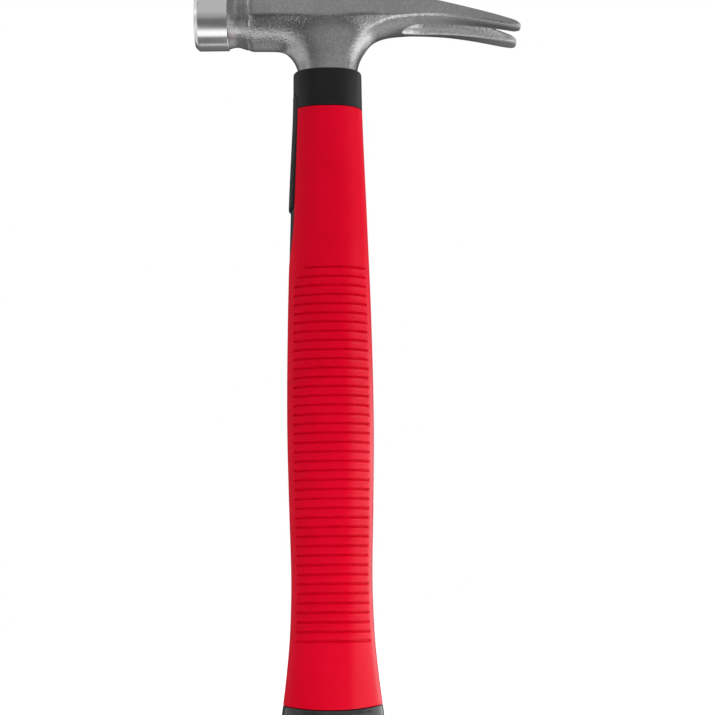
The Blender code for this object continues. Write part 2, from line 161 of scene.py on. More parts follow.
# Cap: shares of its flat floor, heights of its soft foot, and its rim as drop and inset
CAP_STEPS = 18
CAP_FLOOR_SHARES = (0.5, 0.97)
CAP_FOOT_HEIGHTS = (0.12, 0.45, 0.95, 1.6, 2.4)
CAP_WALL_ROWS = 12
CAP_WALL_DROP = 0.5
CAP_RIM = ((0.16, 0.12), (0.0, 0.5), (0.0, 2.1))
CAP_HOLLOW_DROP = 0.3
CAP_HOLLOW_FOOT = 7.0
CAP_HOLLOW_FLOOR = 6.7

# Height of the axis that the striking end is turned on
HEAD_AXIS = 316.75
# Sections of the forging: x, heights of its top, parting and bottom, half width, squareness from 0 to 1, and
# half the width of the nail slot above and below where there is one
BODY_SECTIONS = (
    (-35.0, 328.0, 315.6, 304.0, 11.0, 0.0),
    (-34.2, 330.0, 315.4, 302.3, 12.4, 0.0),
    (-32.4, 330.7, 315.3, 301.6, 13.2, 0.0),
    (-30.0, 330.5, 315.2, 301.7, 13.4, 0.0),
    (-25.0, 330.6, 315.1, 301.6, 13.6, 0.0),
    (-19.0, 330.6, 315.1, 301.5, 13.6, 0.0),
    (-4.5, 330.5, 315.1, 302.0, 13.2, 0.1),
    (6.5, 330.3, 315.1, 304.0, 13.2, 0.15),
    (19.0, 328.8, 314.9, 306.6, 13.7, 0.35),
    (28.0, 327.1, 314.3, 309.6, 14.0, 0.7),
    (34.0, 325.65, 314.1, 310.5, 14.3, 1.0),
)
CLAW_SECTIONS = (
    (36.2, 325.05, 314.1, 311.7, 14.4, 1.0, 0.3, 5.7),
    (39.8, 324.0, 314.05, 312.1, 14.5, 1.0, 0.5, 7.5),
    (50.0, 321.15, 313.75, 312.0, 14.9, 1.0, 1.6, 6.7),
    (61.0, 317.9, 312.7, 311.2, 15.3, 1.0, 3.0, 6.6),
    (72.0, 314.35, 311.1, 309.9, 15.7, 1.0, 4.6, 6.6),
    (79.6, 311.6, 309.65, 308.6, 15.9, 1.0, 5.7, 6.6),
    (82.4, 310.6, 309.1, 308.0, 15.3, 1.0, 6.2, 7.0),
    (83.2, 309.9, 308.9, 308.1, 13.8, 1.0, 7.6, 8.4),
)
# Heights of the claw's lower corners, section by section
CLAW_CORNERS = (313.3, 313.3, 313.0, 311.5, 309.25, 307.5, 307.45, 308.0)
# Corners of a round and of a square section, as shares of its half width and of its height from the parting
ROUND_SHARES = (
    (0.0, 1.0), (0.60, 0.95), (0.985, 0.50), (1.0, 0.0), (0.80, -0.43), (0.62, -0.67), (0.0, -1.0),
)
SQUARE_SHARES = (
    (0.0, 1.0), (0.5, 1.0), (0.96, 0.85), (1.0, 0.0), (0.93, -0.30), (0.5, -0.80), (0.0, -1.0),
)
# The same corners by number, counted from the upper middle round the +Y side
TOP = 0
UPPER = 2
PARTING = 3
LOWER = 4
BOTTOM = 6
CORNERS = 12
UNDERSIDE = range(LOWER, CORNERS - LOWER + 1)
SLOT_ROOT_TOP_X = 37.0
SLOT_ROOT_BOTTOM_X = 31.0
SOCKET_FIRST = 5
SOCKET_LAST = 8
SOCKET_FRONT_X = (-12.5, -17.0, -20.5)
SOCKET_BACK_X = (19.3, 19.8, 20.5)
# Rings of the socket: x in front and behind, half depth, heights in front, beside and behind, squareness
SOCKET_RINGS = (
    (-16.5, 16.9, 11.7, 300.15, 303.8, 303.2, 1.0),
    (-13.5, 13.85, 11.1, 295.4, 298.0, 298.0, 1.0),
    (-12.9, 12.7, 10.7, 290.5, 290.5, 290.5, 0.6),
    (-12.9, 12.7, 10.7, 285.0, 285.0, 285.0, 0.6),
)
SOCKET_OVAL = ((1.0, 0.0), (0.915, 0.52), (0.68, 0.85))
SOCKET_NOSE = ((1.0, 0.0), (0.89, 0.53), (0.62, 0.86))
SOCKET_BROAD = ((1.0, 0.0), (0.96, 0.52), (0.86, 0.93))
SOCKET_SIDE_OUT = (0.0, 0.52, 1.0)
SOCKET_SIDE_SHARE = 0.28
SOCKET_TOP_HALF = 12.1
# Sharp edges of the body by corner, first section and amount, and of a prong by corner and amount
BODY_CREASES = ((PARTING, 0, 0.8), (LOWER, SOCKET_LAST, 0.5), (UPPER, 0, 0.5))
PRONG_CREASES = ((TOP, 0.9), (BOTTOM, 0.8), (UPPER, 0.5))
PRONG_PARTING_CREASE = 0.8
PRONG_PARTING_FADE = 0.15
SLOT_CREASE = 0.15
SOCKET_CREASE = 0.1
FULL_CREASE = 1.0
# Turned end: x, radius and sharpness
TURNED_PROFILE = (
    (-57.2, 0.0, 0.0),
    (-57.2, 8.0, 0.0),
    (-57.2, 11.4, 0.75),
    (-55.6, 13.0, 0.75),
    (-54.2, 13.0, 0.0),
    (-44.6, 13.0, 0.0),
    (-42.8, 13.0, 0.9),
    (-42.6, 12.3, 0.7),
    (-41.6, 11.95, 0.0),
    (-40.3, 11.65, 0.0),
    (-39.0, 11.5, 0.0),
    (-37.3, 11.8, 0.0),
    (-35.2, 12.7, 0.0),
    (-32.6, 12.9, 0.0),
    (-29.6, 10.6, 0.5),
    (-29.6, 0.0, 0.0),
)
TURNED_STEPS = 32
HEAD_LEVELS = 3
BARREL_LEVELS = 2

# Ovals of the eye, the core, the resin round it and the hole in the resin: half width, half depth and height
OVAL_STEPS = 64
EYE_RINGS = ((11.2, 8.2, 281.0), (12.1, 8.9, 329.0), (13.9, 10.7, 331.0), (13.9, 10.7, 335.0))
CORE_RINGS = ((10.0, 7.0, core_low.z), (10.0, 7.0, core_high.z))
CORE_EDGE = 0.4
RESIN_RINGS = ((10.95, 7.95, 285.3), (11.75, 8.6, core_high.z - 0.5), (11.75, 8.6, core_high.z - 0.1))
RESIN_HOLE_RINGS = ((10.1, 7.1, 280.0), (10.1, 7.1, 335.0))


# Meshes


def to_object(name, builder):
    """Turn a bmesh in millimetres into an object in metres."""
    bmesh.ops.scale(builder, vec=(MM, MM, MM), verts=builder.verts)
    mesh = bpy.data.meshes.new(name)
    builder.to_mesh(mesh)
    builder.free()
    item = bpy.data.objects.new(name, mesh)
    bpy.context.collection.objects.link(item)
    return item


def smooth(mesh):
    """Smooth shading, with the hard edges left sharp."""
    mesh.shade_smooth()
    mesh.set_sharp_from_angle(angle=HARD_ANGLE)


def finish_piece(name, builder, material, nodes):
    """Make a bmesh a piece of the object."""
    piece = to_object(name, builder)
    piece.data.materials.append(material)
    smooth(piece.data)
    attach(piece, "root")
    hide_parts(*nodes)
    return piece


def round_off(item, levels):
    rounding = item.modifiers.new("rounding", "SUBSURF")
    rounding.levels = levels
    rounding.render_levels = levels


def work(item, tool, operation):
    modifier = item.modifiers.new(tool.name, "BOOLEAN")
    modifier.operation = operation
    modifier.solver = "MANIFOLD"
    modifier.object = tool


def settle(item, tools):
    """Apply the modifiers, then remove the tools."""
    depsgraph = bpy.context.evaluated_depsgraph_get()
    mesh = bpy.data.meshes.new_from_object(item.evaluated_get(depsgraph))
    item.modifiers.clear()
    old = item.data
    item.data = mesh
    mesh.name = item.name
    bpy.data.meshes.remove(old)
    for tool in tools:
        bpy.data.meshes.remove(tool.data)
    smooth(mesh)


def eased(share):
    share = min(max(share, 0.0), 1.0)
    return share * share * (3 - 2 * share)


def steps_between(start, end, count):
    """Values after start up to and with end."""
    return [start + (end - start) * (i + 1) / count for i in range(count)]


def signed_power(value, power):
    return math.copysign(abs(value) ** power, value)


# Handle skin


def handle_half_sizes(height):
    """Half width and half depth of the handle's skin, on a smooth curve through its stations."""
    last = len(HANDLE_STATIONS) - 1
    index = 0
    while index < last - 1 and height > HANDLE_STATIONS[index + 1][0]:
        index += 1
    below, start, end, above = (HANDLE_STATIONS[min(max(index + k, 0), last)] for k in (-1, 0, 1, 2))
    span = end[0] - start[0]
    t = (height - start[0]) / span
    sizes = []
    for axis in (1, 2):
        leave = (end[axis] - below[axis]) / (end[0] - below[0]) * span
        arrive = (above[axis] - start[axis]) / (above[0] - start[0]) * span
        sizes.append(
            (2 * t**3 - 3 * t**2 + 1) * start[axis] + (t**3 - 2 * t**2 + t) * leave
            + (3 * t**2 - 2 * t**3) * end[axis] + (t**3 - t**2) * arrive
        )
    return sizes


def oval_point(half_width, half_depth, turn, height):
    """A point of an oval; turn runs from the front (-X) towards +Y."""
    return Vector((
        -half_width * signed_power(math.cos(turn), 2 / SKIN_POWER),
        half_depth * signed_power(math.sin(turn), 2 / SKIN_POWER),
        height,
    ))


def skin_point(height, turn, offset=0.0):
    half_width, half_depth = handle_half_sizes(height)
    return oval_point(half_width + offset, half_depth + offset, turn, height)


def arched_skin_point(height, turn, fade, offset=0.0):
    """A skin point lifted towards the front and back, as the sleeve's lower edge is."""
    half_width, _ = handle_half_sizes(height)
    across = skin_point(height, turn).x / half_width
    return skin_point(height + SLEEVE_RISE * across**2 * fade, turn, offset)


def strip_half(height, margin):
    """Half width of the strip, or of its window, at a height."""
    drop = (STRIP_END + STRIP_TONGUE - height) / (STRIP_TONGUE + margin)
    return (STRIP_HALF + margin) * math.sqrt(max(0.0, 1.0 - max(0.0, drop) ** 2))


def tongue_heights(margin):
    """Heights of the strip's half-oval end, from its tip up."""
    return [STRIP_END + STRIP_TONGUE - (STRIP_TONGUE + margin) * math.cos(QUARTER * i / STRIP_STEPS)
            for i in range(STRIP_STEPS + 1)]


def side_turn(height, half):
    """Turn at which the skin lies a given distance to the side."""
    _, half_depth = handle_half_sizes(height)
    return math.asin((half / half_depth) ** (SKIN_POWER / 2))


def spread_turn(turn, mark, edge):
    """Move the column at mark to edge, and spread the others evenly between the front and the side."""
    size = abs(turn)
    if size <= mark:
        size = size * edge / mark
    elif size < QUARTER:
        size = edge + (size - mark) * (QUARTER - edge) / (QUARTER - mark)
    return math.copysign(size, turn)


def both_ways(spans):
    """Turns from the back over +Y and the front to the back again; spans hold ends in degrees and counts."""
    half = [0.0]
    for end, count in spans:
        half += steps_between(half[-1], math.radians(end), count)
    return half[:0:-1] + [-turn for turn in half]


def wrapped_sheet(columns, rows, place, opening=None):
    """A grid bent into a tube; place says where each point goes, opening which cells are left out."""
    sheet = bmesh.new()
    bmesh.ops.create_grid(sheet, x_segments=columns - 1, y_segments=rows - 1, size=0.5)

    def cell(point):
        return (point.x + 0.5) * (columns - 1), (point.y + 0.5) * (rows - 1)

    if opening:
        left_out = [face for face in sheet.faces if opening(*cell(face.calc_center_median()))]
        bmesh.ops.delete(sheet, geom=left_out, context="FACES")
    for vert in sheet.verts:
        column, row = cell(vert.co)
        vert.co = place(round(column), round(row))
    bmesh.ops.remove_doubles(sheet, verts=sheet.verts, dist=WELD)
    bmesh.ops.recalc_face_normals(sheet, faces=sheet.faces)
    return sheet


def ease_edges(builder, width):
    """Bevel every edge that is sharper than the eased angle."""
    builder.normal_update()
    edges = [edge for edge in builder.edges if edge.is_manifold and edge.calc_face_angle() > EASED_ANGLE]
    bmesh.ops.bevel(builder, geom=edges, offset=width, segments=EASED_STEPS, profile=0.5, affect="EDGES",
                    material=-1, clamp_overlap=True)


# Red sleeve


# Columns from the front to the back: the turn in degrees where a span ends, and the columns in it
SLEEVE_SPANS = ((26.0, 5), (30.0, 1), (38.5, 7), (147.0, 14), (155.0, 7), (180.0, 3))
WINDOW_COLUMN = SLEEVE_SPANS[0][1]
WINDOW_TURN = math.radians(SLEEVE_SPANS[0][0])


def window_edge_turn(height):
    """Turn of the window's edge; below the window the columns ease back to even spacing."""
    tip = STRIP_END - GAP
    if height > tip:
        return side_turn(height, strip_half(height, GAP))
    return WINDOW_TURN * eased((tip - height) / WINDOW_FADE)


def sleeve_heights():
    """Heights of the sleeve's rows, and the row of the window's tip."""
    heights = [SLEEVE_BOTTOM]
    heights += steps_between(SLEEVE_BOTTOM, GROOVE_LAST - GROOVE_PITCH / 2, SLEEVE_PLAIN_ROWS)
    for index in range(GROOVES):
        middle = GROOVE_LAST + index * GROOVE_PITCH
        heights += [middle + offset for offset in GROOVE_ROWS]
        if index < GROOVES - 1:
            heights.append(middle + GROOVE_PITCH / 2)
    tongue = tongue_heights(GAP)
    heights += tongue
    heights += steps_between(tongue[-1], SLEEVE_TOP, SLEEVE_PLAIN_ROWS)
    return heights, heights.index(tongue[0])


def groove_sink(x, height):
    """How far the sleeve's skin sinks at a point of its flat sides; the ribs between stand a little proud."""
    index = min(max(round((GROOVE_FIRST - height) / GROOVE_PITCH), 0), GROOVES - 1)
    above = height - (GROOVE_FIRST - index * GROOVE_PITCH)
    away = abs(above)
    edge = GROOVE_EDGE_ABOVE if above > 0 else GROOVE_EDGE_BELOW
    half_width, _ = handle_half_sizes(height)
    shorter = GROOVE_SHORTER[index] if index < len(GROOVE_SHORTER) else 0.0
    front = half_width * GROOVE_REACH_FRONT - shorter
    inside = min(x + front, half_width * GROOVE_REACH_BACK - x)
    length_share = eased(inside / GROOVE_END)
    depth_share = 1.0 - eased((away - GROOVE_FLOOR) / (edge - GROOVE_FLOOR))
    crown = RIB_CROWN * eased((away - edge) / (GROOVE_PITCH / 2 - edge))
    if away > GROOVE_PITCH / 2:
        crown = 0.0
    return length_share * (GROOVE_DEPTH * depth_share - crown)


def ribbed_sleeve():
    turns = both_ways(SLEEVE_SPANS)
    heights, tip_row = sleeve_heights()
    front = len(turns) // 2

    def place(column, row):
        height = heights[row]
        fade = 1.0 - eased((height - SLEEVE_BOTTOM) / SLEEVE_RISE_FADE)
        turn = spread_turn(turns[column], WINDOW_TURN, window_edge_turn(height))
        return arched_skin_point(height, turn, fade)

    def window(column, row):
        return abs(column - front) < WINDOW_COLUMN and row > tip_row

    sleeve = wrapped_sheet(len(turns), len(heights), place, window)
    bmesh.ops.solidify(sleeve, geom=sleeve.faces[:], thickness=SLEEVE_WALL)
    ease_edges(sleeve, SLEEVE_LIP)
    sleeve.normal_update()
    moves = []
    for vert in sleeve.verts:
        half_width, half_depth = handle_half_sizes(vert.co.z)
        level = abs(vert.co.x / half_width) ** SKIN_POWER + abs(vert.co.y / half_depth) ** SKIN_POWER
        if level > SLEEVE_OUTER_LEVEL and GROOVE_ZONE_LOW < vert.co.z < GROOVE_ZONE_HIGH:
            moves.append((vert, vert.normal * -groove_sink(vert.co.x, vert.co.z)))
    for vert, move in moves:
        vert.co += move
    return sleeve


# Black collar with its strip, pad and cap


JACKET_SPANS = ((26.0, 6), (26.6, 1), (90.0, 9), (180.0, 14))
STRIP_COLUMN = JACKET_SPANS[0][1]
STRIP_TURN = math.radians(JACKET_SPANS[0][0])


def collar_and_strip():
    """Slim body under the sleeve, the strip in front, and the collar with its pocket for the socket."""
    slim = -SLEEVE_WALL - GAP
    turns = both_ways(JACKET_SPANS)
    front = len(turns) // 2
    tongue = tongue_heights(0.0)
    ledge, lip = (STRIP_END - drop for drop in BELOW_STRIP)
    under = [jacket_low.z, *steps_between(jacket_low.z, ledge, BELOW_STRIP_ROWS), lip]
    foot = SLEEVE_TOP + GAP
    beside = tongue + steps_between(tongue[-1], foot, BESIDE_STRIP_ROWS)
    wall = steps_between(SLEEVE_TOP + COLLAR_START, COLLAR_TOP - COLLAR_EDGE, COLLAR_ROWS)
    rows = [("centre", jacket_low.z)]
    rows += [("slim", height) for height in under]
    rows += [("strip", height) for height in beside]
    rows += [("collar", height) for height in (foot, foot + COLLAR_FOOT, *wall)]
    rows += [("edge", degrees) for degrees in COLLAR_EDGE_DEGREES]
    rows += [("pocket", height) for height in (COLLAR_TOP, COLLAR_TOP - RECESS_LEDGE, RECESS_FLOOR)]
    rows.append(("centre", RECESS_FLOOR))

    def place(column, row):
        kind, value = rows[row]
        turn = turns[column]
        if kind == "centre":
            return Vector((0.0, 0.0, value))
        if kind == "pocket":
            return oval_point(*RECESS_HALF, turn, value)
        if kind == "edge":
            angle = math.radians(value)
            height = COLLAR_TOP - COLLAR_EDGE * (1 - math.sin(angle))
            return skin_point(height, turn, -COLLAR_EDGE * (1 - math.cos(angle)))
        if kind == "strip":
            edge = side_turn(value, max(strip_half(value, 0.0), STRIP_LEAST_HALF))
            on_strip = abs(column - front) <= STRIP_COLUMN
            return skin_point(value, spread_turn(turn, STRIP_TURN, edge), -STRIP_SUNK if on_strip else slim)
        return skin_point(value, turn, slim if kind == "slim" else 0.0)

    return wrapped_sheet(len(turns), len(rows), place)


def pad_plate(margin, depth, proud, edge):
    """The pad as a flat plate with round corners, then bent round the handle's front."""
    plate = bmesh.new()
    bmesh.ops.create_grid(plate, x_segments=1, y_segments=1, size=0.5)
    width = 2 * (STRIP_HALF + margin)
    length = pad_high.z - pad_low.z + 2 * margin
    bmesh.ops.scale(plate, vec=(width, length, 1.0), verts=plate.verts)
    bmesh.ops.bevel(plate, geom=plate.verts[:], offset=PAD_CORNER + margin, segments=PAD_CORNER_STEPS,
                    profile=0.5, affect="VERTICES", material=-1)
    top = bmesh.ops.extrude_face_region(plate, geom=plate.faces[:])
    raised = [item for item in top["geom"] if isinstance(item, bmesh.types.BMVert)]
    bmesh.ops.translate(plate, vec=(0.0, 0.0, depth + proud), verts=raised)
    bmesh.ops.recalc_face_normals(plate, faces=plate.faces)
    if edge:
        rim = [e for e in plate.edges
               if all(v in raised for v in e.verts) and e.calc_face_angle() > PAD_RIM_ANGLE]
        bmesh.ops.bevel(plate, geom=rim, offset=edge, segments=PAD_EDGE_STEPS, profile=0.5, affect="EDGES",
                        material=-1, clamp_overlap=True)
    cuts = [((across, 0.0, 0.0), (1.0, 0.0, 0.0)) for across in PAD_CUTS_ACROSS]
    cuts += [((0.0, along, 0.0), (0.0, 1.0, 0.0)) for along in PAD_CUTS_ALONG]
    for point, direction in cuts:
        bmesh.ops.bisect_plane(plate, geom=plate.verts[:] + plate.edges[:] + plate.faces[:], dist=WELD,
                               plane_co=point, plane_no=direction)
    middle = (pad_high.z + pad_low.z) / 2
    least = PAD_PROUD_TOP / PAD_PROUD
    for vert in plate.verts:
        side, along, lift = vert.co
        half_width, half_depth = handle_half_sizes(middle + along)
        offset = lift - depth
        if offset > 0.0:
            offset *= least + (1 - least) * eased(0.5 - along / length)
        share = min(1.0, abs(side) / (half_depth + offset))
        x = -(half_width + offset) * (1.0 - share**SKIN_POWER) ** (1.0 / SKIN_POWER)
        vert.co = (x, side, middle + along)
    bmesh.ops.recalc_face_normals(plate, faces=plate.faces)
    return plate


def cap_cup():
    """Closed cup over the end of the handle, with an arched rim."""
    turns = both_ways(((90.0, CAP_STEPS), (180.0, CAP_STEPS)))
    rim = SLEEVE_BOTTOM - GAP
    wall = steps_between(CAP_FOOT_HEIGHTS[-1], rim - CAP_WALL_DROP, CAP_WALL_ROWS)
    rows = [("centre", 0.0)]
    rows += [("floor", share) for share in CAP_FLOOR_SHARES]
    rows += [("foot", height) for height in CAP_FOOT_HEIGHTS]
    rows += [("wall", height) for height in wall]
    rows += [("rim", (rim - drop, -inset)) for drop, inset in CAP_RIM]
    rows += [("inside", rim - CAP_HOLLOW_DROP), ("inside", CAP_HOLLOW_FOOT), ("centre", CAP_HOLLOW_FLOOR)]

    def place(column, row):
        kind, value = rows[row]
        turn = turns[column]
        if kind == "centre":
            return Vector((0.0, 0.0, value))
        if kind == "floor":
            point = skin_point(0.0, turn)
            return Vector((point.x * value, point.y * value, 0.0))
        if kind == "foot":
            return skin_point(value, turn)
        if kind == "rim":
            return arched_skin_point(value[0], turn, 1.0, value[1])
        if kind == "inside":
            return arched_skin_point(value, turn, eased(value / rim), -SLEEVE_WALL)
        return arched_skin_point(value, turn, eased(value / rim))

    return wrapped_sheet(len(turns), len(rows), place)


# Forged head


def half_section(x, top, parting, bottom, half_width, square, slot_top=0.0, slot_bottom=0.0):
    """Half a section of the forging, from its upper middle round the +Y side to its lower middle."""
    points = []
    for (round_out, round_up), (square_out, square_up) in zip(ROUND_SHARES, SQUARE_SHARES):
        slot = slot_top if square_up > 0 else slot_bottom
        y_square = slot + (half_width - slot) * square_out
        y = half_width * round_out * (1 - square) + y_square * square
        up = round_up * (1 - square) + square_up * square
        z = parting + up * (top - parting if up > 0 else parting - bottom)
        points.append(Vector((x, y, z)))
    return points


def mirrored(point):
    return Vector((point.x, -point.y, point.z))


def pull(cage, face, points):
    """Extrude one face and put its corners on new points."""
    made = bmesh.ops.extrude_discrete_faces(cage, faces=[face])["faces"][0]
    for vert, point in zip(made.verts, points):
        vert.co = point
    return made


def sharpen(cage, crease, verts, amount):
    for start, end in zip(verts, verts[1:]):
        edge = cage.edges.get((start, end))
        if edge:
            edge[crease] = amount


def socket_point(ring, station, spoke):
    """Where a corner of the socket goes; spoke counts round the underside."""
    front_x, back_x, half_depth, front_z, side_z, back_z, square = ring
    if station < (SOCKET_FIRST + SOCKET_LAST) / 2:
        reach, end_z, shares = front_x, front_z, SOCKET_NOSE
    else:
        reach, end_z, shares = back_x, back_z, SOCKET_BROAD
    away = abs(spoke - BOTTOM)
    if station in (SOCKET_FIRST, SOCKET_LAST):
        along, out = (a + (b - a) * square for a, b in zip(SOCKET_OVAL[away], shares[away]))
    else:
        along, out = SOCKET_SIDE_SHARE, SOCKET_SIDE_OUT[away]
    side = 1 if spoke < BOTTOM else -1
    return Vector((reach * along, side * half_depth * out, side_z + (end_z - side_z) * along**2))


def pull_body(cage):
    """Rings of corners along the body, each pulled out of the last."""
    rings = []
    for section in BODY_SECTIONS:
        half = half_section(*section)
        points = half + [mirrored(point) for point in half[-2:0:-1]]
        if not rings:
            face = cage.faces.new([cage.verts.new(point) for point in points])
        else:
            face = pull(cage, face, points)
        rings.append(list(face.verts))
    cage.faces.new(reversed(rings[0]))
    for ring, places in ((rings[SOCKET_FIRST], SOCKET_FRONT_X), (rings[SOCKET_LAST], SOCKET_BACK_X)):
        for spoke in UNDERSIDE:
            ring[spoke].co.x = places[2 - abs(spoke - BOTTOM)]
    for ring in rings[SOCKET_FIRST + 1:SOCKET_LAST]:
        ring[LOWER].co.y = SOCKET_TOP_HALF
        ring[CORNERS - LOWER].co.y = -SOCKET_TOP_HALF
    return rings


def pull_prong(cage, crease, root, side):
    """A prong of the claw, on the +Y side for 1 and on the -Y side for -1."""
    spokes = [side * label % CORNERS for label in range(BOTTOM + 1)]
    prong = [[root[spoke]] for spoke in spokes]
    face = next(f for f in root[spokes[1]].link_faces if root[TOP] in f.verts and root[BOTTOM] in f.verts)
    labels = [spokes.index(root.index(vert)) for vert in face.verts]
    for section, corner in zip(CLAW_SECTIONS, CLAW_CORNERS):
        half = half_section(*section)
        half[LOWER].z = corner
        half[LOWER + 1].z = (corner + half[BOTTOM].z) / 2
        face = pull(cage, face, [half[k] if side == 1 else mirrored(half[k]) for k in labels])
        for label, vert in zip(labels, face.verts):
            prong[label].append(vert)
    for label, amount in PRONG_CREASES:
        sharpen(cage, crease, prong[label][:-1], amount)
    sharpen(cage, crease, prong[PARTING][:4], PRONG_PARTING_CREASE)
    sharpen(cage, crease, prong[PARTING][3:6], PRONG_PARTING_FADE)


def pull_socket(cage, crease, rings):
    """The socket, drawn down ring by ring from the underside of the body."""
    labels = {rings[station][spoke]: (station, spoke)
              for station in range(SOCKET_FIRST, SOCKET_LAST + 1) for spoke in UNDERSIDE}
    faces = [f for f in cage.faces if all(vert in labels for vert in f.verts)]
    for ring in SOCKET_RINGS:
        place_of = {tuple(vert.co): label for vert, label in labels.items()}
        made = bmesh.ops.extrude_face_region(cage, geom=faces)["geom"]
        bmesh.ops.delete(cage, geom=faces, context="FACES")
        faces = [item for item in made if isinstance(item, bmesh.types.BMFace)]
        fresh = [item for item in made if isinstance(item, bmesh.types.BMVert)]
        labels = {vert: place_of[tuple(vert.co)] for vert in fresh}
        for vert, (station, spoke) in labels.items():
            vert.co = socket_point(ring, station, spoke)
            if station in (SOCKET_FIRST, SOCKET_LAST) and spoke in (LOWER, CORNERS - LOWER):
                for edge in vert.link_edges:
                    if edge.other_vert(vert) not in labels:
                        edge[crease] = SOCKET_CREASE
    for edge in {edge for f in faces for edge in f.edges}:
        if not all(f in faces for f in edge.link_faces):
            edge[crease] = FULL_CREASE


def forging_cage():
    """Coarse cage of the body, claw and socket, pulled out face by face."""
    cage = bmesh.new()
    crease = cage.edges.layers.float.new("crease_edge")
    rings = pull_body(cage)
    root = rings[-1]
    root[TOP].co.x = SLOT_ROOT_TOP_X
    root[BOTTOM].co.x = SLOT_ROOT_BOTTOM_X
    bmesh.ops.connect_verts(cage, verts=[root[TOP], root[BOTTOM]])
    sharpen(cage, crease, [root[TOP], root[BOTTOM]], SLOT_CREASE)
    for corner, first, amount in BODY_CREASES:
        for spoke in (corner, CORNERS - corner):
            sharpen(cage, crease, [ring[spoke] for ring in rings[first:]], amount)
    for side in (1, -1):
        pull_prong(cage, crease, root, side)
    pull_socket(cage, crease, rings)
    bmesh.ops.recalc_face_normals(cage, faces=cage.faces)
    return cage


def turned_end():
    """Striking face, barrel and neck, spun about the head's axis."""
    cage = bmesh.new()
    crease = cage.edges.layers.float.new("crease_edge")
    points = [cage.verts.new((x, 0.0, HEAD_AXIS + radius)) for x, radius, _ in TURNED_PROFILE]
    edges = [cage.edges.new(pair) for pair in zip(points, points[1:])]
    bmesh.ops.spin(cage, geom=points + edges, cent=(0.0, 0.0, HEAD_AXIS), axis=(1.0, 0.0, 0.0),
                   angle=2 * math.pi, steps=TURNED_STEPS, use_merge=True)
    bmesh.ops.remove_doubles(cage, verts=cage.verts, dist=WELD)
    bmesh.ops.recalc_face_normals(cage, faces=cage.faces)
    for edge in cage.edges:
        first, second = (vert.co for vert in edge.verts)
        if abs(first.x - second.x) < WELD:
            radii = [math.hypot(co.y, co.z - HEAD_AXIS) for co in (first, second)]
            for x, radius, amount in TURNED_PROFILE:
                if amount and abs(first.x - x) < NEAR and max(abs(r - radius) for r in radii) < NEAR:
                    edge[crease] = amount
    return cage


def oval_bar(rings):
    """Solid bar through ovals given as (half width, half depth, height)."""
    bar = bmesh.new()
    half_width, half_depth, height = rings[0]
    bmesh.ops.create_circle(bar, cap_ends=True, segments=OVAL_STEPS, radius=1.0)
    bmesh.ops.scale(bar, vec=(half_width, half_depth, 1.0), verts=bar.verts)
    bmesh.ops.translate(bar, vec=(0.0, 0.0, height), verts=bar.verts)
    face = bar.faces[:][0]
    floor = list(face.verts)
    for wide, deep, level in rings[1:]:
        ratio = (wide / half_width, deep / half_depth)
        face = pull(bar, face, [Vector((v.co.x * ratio[0], v.co.y * ratio[1], level)) for v in face.verts])
        half_width, half_depth = wide, deep
    bar.faces.new(reversed(floor))
    bmesh.ops.recalc_face_normals(bar, faces=bar.faces)
    return bar


# Finishes


class Wire:
    """A shader socket that takes part in Python arithmetic."""

    def __init__(self, finish, socket):
        self.finish = finish
        self.socket = socket

    def maths(self, operation, *values):
        return self.finish.node("ShaderNodeMath", {"operation": operation}, dict(enumerate(values)))

    def __add__(self, other):
        return self.maths("ADD", self, other)

    __radd__ = __add__

    def __sub__(self, other):
        return self.maths("SUBTRACT", self, other)

    def __rsub__(self, other):
        return self.maths("SUBTRACT", other, self)

    def __mul__(self, other):
        return self.maths("MULTIPLY", self, other)

    __rmul__ = __mul__

    def __truediv__(self, other):
        return self.maths("DIVIDE", self, other)

    def __pow__(self, other):
        return self.maths("POWER", self, other)

    def __abs__(self):
        return self.maths("ABSOLUTE", self)

    def step(self, start, end):
        """0 at start, 1 at end, smooth between."""
        settings = {"interpolation_type": "SMOOTHSTEP"}
        if start > end:
            return 1 - self.step(end, start)
        return self.finish.node("ShaderNodeMapRange", settings,
                                {"Value": self, "From Min": start, "From Max": end})

    def band(self, start, full, still, end):
        """0 at start, 1 from full to still, 0 again at end."""
        return self.step(start, full) * self.step(end, still)


